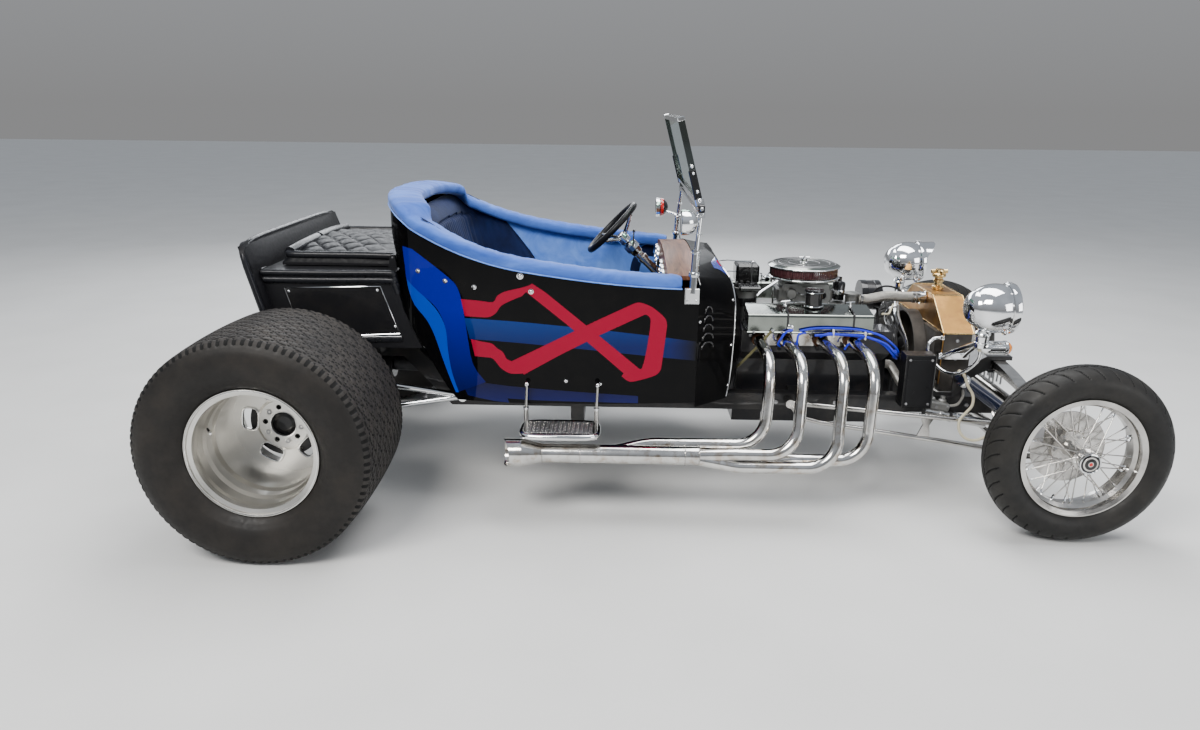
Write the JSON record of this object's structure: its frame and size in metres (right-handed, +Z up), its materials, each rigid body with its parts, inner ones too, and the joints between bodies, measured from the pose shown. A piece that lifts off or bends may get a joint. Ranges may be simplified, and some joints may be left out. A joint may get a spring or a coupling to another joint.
{
  "type": "hot rod",
  "caption": "Open two-seat hot rod with a bucket body, exposed engine, side exhausts, wire front wheels and very wide rear tyres.",
  "frame": {"origin": "on the ground under the middle of the vehicle's outer box", "axes": "+X to the vehicle's front, +Y to its left, +Z up"},
  "size_m": [3.315, 2.097, 1.3687],
  "materials": {
    "frame_black": "satin",
    "steel_dark": "satin",
    "chrome": "polished",
    "polished": "polished",
    "cast": "matte",
    "tyre": "matte",
    "body_paint": "gloss",
    "engine_paint": "gloss",
    "brass": "worn",
    "velour": "matte",
    "navy_leather": "satin",
    "vinyl_black": "satin",
    "wood": "satin",
    "glass": "clear",
    "mirror": "polished",
    "rubber": "matte",
    "plastic_black": "matte"
  },
  "bodies": {
    "chassis": {"frame": "frame_black", "front_axle": "chrome", "front_spring": "chrome", "front_radius_rods": "chrome", "rear_axle": "cast", "rear_springs": "chrome", "rear_radius_rods": "chrome", "engine_block": "engine_paint", "valve_covers": "engine_paint", "intake_carburettor": "polished", "air_cleaner": "chrome", "fan_and_pulleys": "polished", "gearbox": "cast", "exhausts": "chrome", "radiator": "cast", "radiator_tank": "brass", "radiator_hoses": "rubber", "body_tub": "body_paint", "cowl": "body_paint", "dash": "wood", "rim_pad": "velour", "side_linings": "velour", "seat_back": "navy_leather", "seat_cushion": "navy_leather", "trunk_box": "vinyl_black", "tail_board": "vinyl_black", "windshield_posts": "chrome", "mirrors": "mirror", "headlights": "chrome", "headlight_lenses": "glass", "headlight_brackets": "chrome", "lamp_sheaths": "chrome", "fuel_pump": "polished", "electrics_box": "plastic_black", "side_steps": "chrome", "steering_column": "chrome", "firewall": "body_paint", "front_dampers": "engine_paint", "brake_hoses": "rubber"},
    "wheel_rear_right": {"rear_wheel_right": "polished", "rear_drum_right": "cast", "rear_tyre_right": "tyre"},
    "knuckle_right": {"knuckle_right": "steel_dark"},
    "wheel_front_right": {"front_wheel_right": "chrome", "front_tyre_right": "tyre"},
    "wheel_rear_left": {"rear_wheel_left": "polished", "rear_drum_left": "cast", "rear_tyre_left": "tyre"},
    "knuckle_left": {"knuckle_left": "steel_dark"},
    "wheel_front_left": {"front_wheel_left": "chrome", "front_tyre_left": "tyre"},
    "tie_rod": {"tie_rod": "chrome"},
    "drag_link": {"drag_link": "chrome"},
    "pitman_arm": {"pitman_arm": "steel_dark"},
    "steering_wheel": {"steering_wheel": "plastic_black"},
    "trunk_lid": {"trunk_lid": "vinyl_black"},
    "windshield": {"windshield_frame": "chrome", "windshield_glass": "glass"}
  },
  "joints": [
    {"name": "rear_wheel_spin_right", "type": "hinge", "parent": "chassis", "child": "wheel_rear_right", "pos_m": [-1.2855, -0.812, 0.372], "axis": [0, 1, 0], "continuous": true},
    {"name": "rear_wheel_spin_left", "type": "hinge", "parent": "chassis", "child": "wheel_rear_left", "pos_m": [-1.2855, 0.812, 0.372], "axis": [0, 1, 0], "continuous": true},
    {"name": "steer_left", "type": "hinge", "parent": "chassis", "child": "knuckle_left", "pos_m": [1.351, 0.6, 0.3065], "axis": [0, 0, 1], "range_deg": [-28, 28]},
    {"name": "steer_right", "type": "hinge", "parent": "chassis", "child": "knuckle_right", "pos_m": [1.351, -0.6, 0.3065], "axis": [0, 0, 1], "range_deg": [-28, 28]},
    {"name": "front_wheel_spin_right", "type": "hinge", "parent": "knuckle_right", "child": "wheel_front_right", "pos_m": [1.351, -0.722, 0.3065], "axis": [0, 1, 0], "continuous": true},
    {"name": "front_wheel_spin_left", "type": "hinge", "parent": "knuckle_left", "child": "wheel_front_left", "pos_m": [1.351, 0.722, 0.3065], "axis": [0, 1, 0], "continuous": true},
    {"name": "tie_rod_pivot", "type": "hinge", "parent": "knuckle_left", "child": "tie_rod", "pos_m": [1.221, 0.6, 0.236], "axis": [0, 0, 1], "range_deg": [-28, 28]},
    {"name": "pitman_turn", "type": "hinge", "parent": "chassis", "child": "pitman_arm", "pos_m": [1.2, 0.255, 0.3], "axis": [0, 0, 1], "range_deg": [-28, 28]},
    {"name": "drag_link_pivot", "type": "hinge", "parent": "pitman_arm", "child": "drag_link", "pos_m": [1.125, 0.255, 0.29], "axis": [0, 0, 1], "range_deg": [-28, 28]},
    {"name": "steering_wheel_turn", "type": "hinge", "parent": "chassis", "child": "steering_wheel", "pos_m": [-0.208, 0.29, 0.902], "axis": [-0.7193, 0, 0.6947], "range_deg": [-448, 448]},
    {"name": "trunk_lid_hinge", "type": "hinge", "parent": "chassis", "child": "trunk_lid", "pos_m": [-0.984, 0, 0.874], "axis": [0, 1, 0], "range_deg": [0, 60]},
    {"name": "windshield_fold", "type": "hinge", "parent": "chassis", "child": "windshield", "pos_m": [0.097, 0, 1.071], "axis": [0, 1, 0], "range_deg": [0, 95]}
  ],
  "couplings": [
    {"joint": "steer_right", "follows": "steer_left", "ratio": 1},
    {"joint": "tie_rod_pivot", "follows": "steer_left", "ratio": -1},
    {"joint": "pitman_turn", "follows": "steer_left", "ratio": 1},
    {"joint": "drag_link_pivot", "follows": "steer_left", "ratio": -1},
    {"joint": "steering_wheel_turn", "follows": "steer_left", "ratio": 16}
  ]
}
